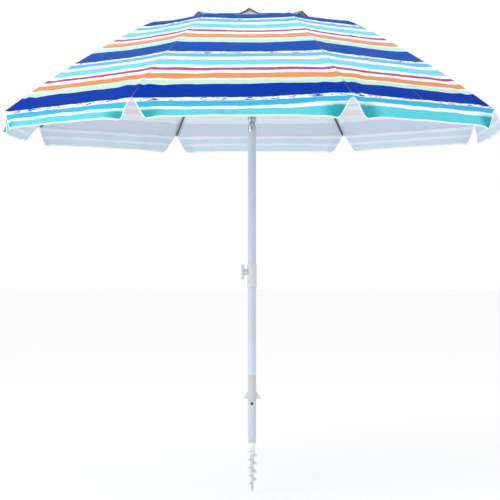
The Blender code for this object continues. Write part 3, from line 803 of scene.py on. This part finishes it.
def stripe_colours(finish):
    """The cloth's place, its distance up the print, and the plain stripes there."""
    uv = finish.node("UVMap", {"uv_map": "cloth"}).outputs[0]
    parts = finish.node("SeparateXYZ", None, {0: uv})
    up = Value(finish, parts.outputs["Y"])
    broad = finish.noise(uv, 1.0, 2.0, (9, 34, 1))
    fine = finish.noise(uv, 1.0, 3.0, (34, 90, 1))
    shaken = up + broad * 0.010 + fine * 0.0050
    share = ((shaken - FIRST_STRIPE) / REPEAT + 4.0).fraction()
    stripes = finish.node("ValToRGB", {"stops": ramp_stops(STRIPES, 0.003)}, {0: share})
    down = (0.0 - shaken) / FLAP_LENGTH
    valance = finish.node("ValToRGB", {"stops": ramp_stops(VALANCE_STRIPES, 0.012, 1 / FLAP_LENGTH)},
                          {0: down})
    below = shaken < FIRST_STRIPE
    return uv, shaken, finish.mix(below, stripes.outputs[0], valance.outputs[0])


def print_with_painted_light(finish, from_rib):
    """The stripes with the print's rough dashes, a painted sheen that lightens the print higher up, and painted
    shade on the valance's lower corners and streaks.
    """
    uv, shaken, colour = stripe_colours(finish)
    share = ((shaken - FIRST_STRIPE) / REPEAT + 4.0).fraction()
    above = shaken > FIRST_STRIPE
    down = (0.0 - shaken) / FLAP_LENGTH
    rough_band = (share > 0.958) * above
    under_rim = (down > 0.055) * (down < 0.190)
    band = (rough_band + under_rim) * finish.noise(uv, 1.0, 0.0, (13, 4, 1)).step(-0.12, -0.02)
    dashes = finish.noise(uv, 1.0, 2.0, (26, 190, 1), 0.6).step(0.035, 0.075)
    colour = finish.mix(dashes * band, colour, (0.02, 0.035, 0.13))
    wash = finish.noise(uv, 1.0, 4.0, (7, 70, 1), 0.6)
    colour = finish.mix(wash.step(0.08, 0.35) * 0.05, colour, (0.80, 0.88, 0.97))
    colour = finish.mix((1 - wash.step(-0.35, -0.05)) * 0.12, colour, (0.0, 0.03, 0.20))
    # Painted sheen: the print is made lighter higher up the canopy
    colour = finish.mix(shaken.step(0.08, 0.34), colour, (0.015, 0.050, 0.075), "ADD")
    # Painted shade: the valance's lower corners by the ribs, and streaks along its lower part, are darkened
    streaks = finish.noise(uv, 1.0, 2.0, (22, 3, 1))
    painted_fold_shade = (1 - from_rib.step(0.060, 0.125)) * down.step(0.45, 0.65)
    painted_fold_shade = painted_fold_shade * 0.85 + streaks.step(0.02, 0.30) * down.step(0.55, 0.75) * 0.30
    return uv, finish.mix(painted_fold_shade, colour, (0.12, 0.50, 0.52), "MULTIPLY")


def weave(finish, uv):
    warp = finish.node("TexWave", {"wave_type": "BANDS", "bands_direction": "X"},
                       {"Vector": uv, "Scale": 340.0})
    weft = finish.node("TexWave", {"wave_type": "BANDS", "bands_direction": "Y"},
                       {"Vector": uv, "Scale": 340.0})
    return Value(finish, warp.outputs["Fac"]) * 0.5 + Value(finish, weft.outputs["Fac"]) * 0.5


def seam_parts(finish):
    """Distance from the rib, and the marks of a twin row of stitches along it."""
    parts = finish.node("SeparateXYZ", None, {0: finish.node("UVMap", {"uv_map": "seam"}).outputs[0]})
    from_rib = Value(finish, parts.outputs["X"])
    up = Value(finish, parts.outputs["Y"])
    row = 1 - (from_rib - 0.0024).size().step(0.0002, 0.0006)
    stitch = ((up / 0.0036).fraction() - 0.5).size().step(0.18, 0.30)
    return from_rib, row * stitch


def printed_cloth():
    finish = Finish("printed_cloth", 0.78, 0.0, Specular_IOR_Level=0.06)
    from_rib, stitches = seam_parts(finish)
    uv, colour = print_with_painted_light(finish, from_rib)
    # Painted shade: a dark line along the rib, where the cloth creases over it
    painted_crease_shade = 1 - from_rib.step(0.0002, 0.0012)
    colour = finish.mix(painted_crease_shade * 0.45, colour, (0.05, 0.10, 0.16))
    colour = finish.mix(stitches * 0.35, colour, (0.55, 0.62, 0.70))
    finish.colour(colour)
    crumple = finish.noise(uv, 26.0, 3.0)
    finish.bump(weave(finish, uv) * 0.12 + stitches * 0.5 + crumple * 0.9, 0.0009, 0.8)
    return finish.material


def silver_lining():
    finish = Finish("silver_lining", 0.45, 0.0, Specular_IOR_Level=0.5)
    uv, _, print_through = stripe_colours(finish)
    from_rib, stitches = seam_parts(finish)
    grain = finish.noise(uv, 900.0, 1.0)
    silver = finish.mix(grain.step(-0.2, 0.2), (0.59, 0.65, 0.74), (0.72, 0.78, 0.86))
    colour = finish.mix(0.20, silver, print_through)
    colour = finish.mix((1 - from_rib.step(0.004, 0.0048)) * 0.35, colour, (0.85, 0.86, 0.88))
    colour = finish.mix(stitches * 0.6, colour, (0.25, 0.27, 0.30))
    finish.colour(colour)
    crumple = finish.noise(uv, 26.0, 3.0)
    finish.bump(weave(finish, uv) * 0.12 + crumple * 0.9, 0.0009, 0.8)
    return finish.material


def tape(name, light, dark):
    finish = Finish(name, 0.75, 0.0, Sheen_Weight=0.3)
    place = finish.place()
    grain = finish.noise(place, 300.0, 2.0)
    finish.colour(finish.mix(grain.step(-0.25, 0.25), dark, light))
    cords = finish.node("TexWave", {"wave_type": "BANDS", "bands_direction": "DIAGONAL"},
                        {"Vector": place, "Scale": 260.0})
    finish.bump(Value(finish, cords.outputs["Fac"]) + grain, 0.0004, 0.6)
    return finish.material


def powder_coat():
    finish = Finish("powder_coat", 0.32, 0.0, Coat_Weight=0.25, Coat_Roughness=0.15)
    place = finish.place()
    tone = finish.noise(place, 3.0, 2.0)
    finish.colour(finish.mix(tone.step(-0.3, 0.3), (0.47, 0.53, 0.62), (0.52, 0.58, 0.67)))
    peel = finish.noise(place, 700.0, 2.0)
    finish.rough(0.33 + peel * 0.10)
    finish.bump(peel, 0.0003, 0.35)
    return finish.material


def moulded(name, light, dark, roughness=0.45):
    finish = Finish(name, roughness)
    place = finish.place()
    tone = finish.noise(place, 14.0, 3.0)
    finish.colour(finish.mix(tone.step(-0.3, 0.3), dark, light))
    grain = finish.noise(place, 1400.0, 2.0)
    finish.rough(roughness + grain * 0.18)
    finish.bump(grain, 0.0003, 0.4)
    return finish.material


def fluted():
    """The sleeve's plastic, with painted shade in its long grooves."""
    finish = Finish("fluted_plastic", 0.48)
    place = finish.place()
    x, y, _ = finish.axes(place)
    painted_groove_shade = 0.5 - (y.turn_towards(x) * SLEEVE_FLUTES).cosine() * 0.5
    tone = finish.noise(place, 14.0, 3.0, (1, 1, 0.3))
    colour = finish.mix(tone.step(-0.3, 0.3), (0.55, 0.56, 0.58), (0.63, 0.64, 0.66))
    # Painted shade: the grooves between the flutes are darkened
    finish.colour(finish.mix(painted_groove_shade.step(0.45, 0.95) * 0.65, colour, (0.24, 0.25, 0.27)))
    grain = finish.noise(place, 1400.0, 2.0)
    finish.rough(0.48 + grain * 0.18)
    finish.bump(grain, 0.0003, 0.4)
    return finish.material


def auger_plastic():
    """White moulded screw, its core darkened with painted shade and made rougher, and its blade's rim scuffed."""
    finish = Finish("auger_plastic", 0.40)
    place = finish.place()
    x, y, z = finish.axes(place)
    radius = (x * x + y * y).root()
    tone = finish.noise(place, 60.0, 3.0)
    # Painted shade: the core near the axis, between the blade's turns, is darkened
    core = 1 - (radius + z * 0.035 + tone * 0.003).step(0.0075, 0.0135)
    colour = finish.mix(tone.step(-0.3, 0.3), (0.80, 0.81, 0.83), (0.88, 0.89, 0.90))
    colour = finish.mix(core * 0.8, colour, (0.50, 0.52, 0.55))
    scuff = finish.noise(place, 260.0, 3.0).step(0.10, 0.25) * radius.step(0.019, 0.023)
    finish.colour(finish.mix(scuff * 0.5, colour, (0.60, 0.60, 0.60)))
    grain = finish.noise(place, 1100.0, 2.0)
    finish.rough(0.42 + grain * 0.15 + core * 0.2)
    finish.bump(grain + scuff, 0.0004, 0.5)
    return finish.material


def brushed(name, light, dark, roughness, stretch):
    """Metal with drawn streaks along its length."""
    finish = Finish(name, roughness, 0.85)
    place = finish.place()
    streaks = finish.noise(place, 1.0, 3.0, stretch)
    finish.colour(finish.mix(streaks.step(-0.22, 0.22), dark, light))
    finish.rough(roughness + streaks * 0.25)
    finish.bump(streaks, 0.0003, 0.4)
    return finish.material


def glass_fibre():
    """Pultruded rod: dark resin with long fine fibres."""
    finish = Finish("glass_fibre", 0.35, 0.0, Coat_Weight=0.3, Coat_Roughness=0.2)
    place = finish.place()
    fibres = finish.noise(place, 1.0, 3.0, (220, 220, 30))
    finish.colour(finish.mix(fibres.step(-0.2, 0.25), (0.012, 0.012, 0.014), (0.045, 0.046, 0.05)))
    finish.rough(0.36 + fibres * 0.2)
    finish.bump(fibres, 0.0003, 0.3)
    return finish.material


def make_finishes():
    return {
        "print": printed_cloth(),
        "lining": silver_lining(),
        "hem": tape("white_tape", (0.90, 0.91, 0.92), (0.80, 0.82, 0.84)),
        "dark_hem": tape("grey_tape", (0.10, 0.13, 0.14), (0.05, 0.07, 0.08)),
        "white_tube": powder_coat(),
        "grey_plastic": moulded("grey_plastic", (0.60, 0.61, 0.63), (0.54, 0.55, 0.57)),
        "auger_white": auger_plastic(),
        "fluted": fluted(),
        "dark_plastic": moulded("dark_plastic", (0.07, 0.07, 0.08), (0.04, 0.04, 0.05), 0.5),
        "knuckle_grey": brushed("streaked_knuckle", (0.62, 0.64, 0.67), (0.25, 0.27, 0.30), 0.38,
                                (260, 260, 6)),
        "steel": brushed("drawn_steel", (0.66, 0.67, 0.69), (0.42, 0.43, 0.46), 0.28, (300, 300, 14)),
        "rib_black": glass_fibre(),
        "stretcher_white": moulded("painted_steel", (0.66, 0.69, 0.74), (0.58, 0.61, 0.67), 0.35),
    }


def dress_cad(finish):
    """Every CAD node that stays in view gets its finish, clean shading and broken edges."""
    slots = {part["node"]: part["material_slot"] for part in frame["record"]["subparts"]}
    for name, node in frame["nodes"].items():
        if node.hide_render:
            continue
        node.data.materials.clear()
        node.data.materials.append(finish["fluted" if name == "twist_sleeve" else slots[name]])
        weld = node.modifiers.new("weld", "WELD")
        weld.merge_threshold = 0.00001
        bevel = node.modifiers.new("edges", "BEVEL")
        bevel.width = 0.0003
        bevel.segments = 2
        bevel.limit_method = "ANGLE"
        bevel.angle_limit = math.radians(35)
        bevel.harden_normals = True
        node.data.shade_smooth()


# Studio


def make_stage():
    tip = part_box("sand_auger")[0].z
    mesh = bpy.data.meshes.new("floor")
    work = bmesh.new()
    bmesh.ops.create_grid(work, x_segments=1, y_segments=1, size=40)
    work.to_mesh(mesh)
    work.free()
    floor = add_piece("floor", mesh)
    floor.location = (0, 0, tip - 0.0005)
    finish = Finish("floor", 0.9)
    finish.colour((0.96, 0.96, 0.96))
    mesh.materials.append(finish.material)


def add_light(name, place, aim, size, power):
    data = bpy.data.lights.new(name, "AREA")
    data.shape = "DISK"
    data.size = size
    data.energy = power
    lamp = bpy.data.objects.new(name, data)
    lamp.location = place
    lamp.rotation_euler = (Vector(aim) - Vector(place)).to_track_quat("-Z", "Y").to_euler()
    bpy.context.scene.collection.objects.link(lamp)


def make_light():
    world = bpy.data.worlds.new("studio")
    bpy.context.scene.world = world
    world.use_nodes = True
    sky = world.node_tree.nodes["Background"]
    sky.inputs[0].default_value = (1, 1, 1, 1)
    sky.inputs[1].default_value = 1.0
    add_light("key", (-3.2, -4.5, 4.6), (0, 0, 1.2), 3.0, 70)
    add_light("fill", (4.0, -4.0, 2.4), (0, 0, 0.9), 3.5, 25)
    add_light("strip", (-2.6, -1.6, 0.35), (0, 0, 0.7), 1.0, 18)


def make_colour():
    bpy.context.scene.view_settings.view_transform = "Standard"


def make_camera():
    """Level, a little right of the front, its eye at the height of the pole's middle."""
    distance = 6.41
    aside = 0.008
    eye = 0.725
    turn = math.radians(2.2)
    data = bpy.data.cameras.new("camera")
    data.lens = 118.7
    data.sensor_width = 36
    data.shift_y = 0.0124
    camera = bpy.data.objects.new("camera", data)
    camera.location = (distance * math.sin(turn) - aside, -distance * math.cos(turn), eye)
    camera.rotation_euler = (math.radians(90), 0, turn)
    bpy.context.scene.collection.objects.link(camera)
    bpy.context.scene.camera = camera


make_camera()
finishes = make_finishes()
make_canopy(finishes)
make_pole(finishes)
make_auger(finishes)
dress_cad(finishes)
make_stage()
make_light()
make_colour()

bpy.context.view_layer.update()
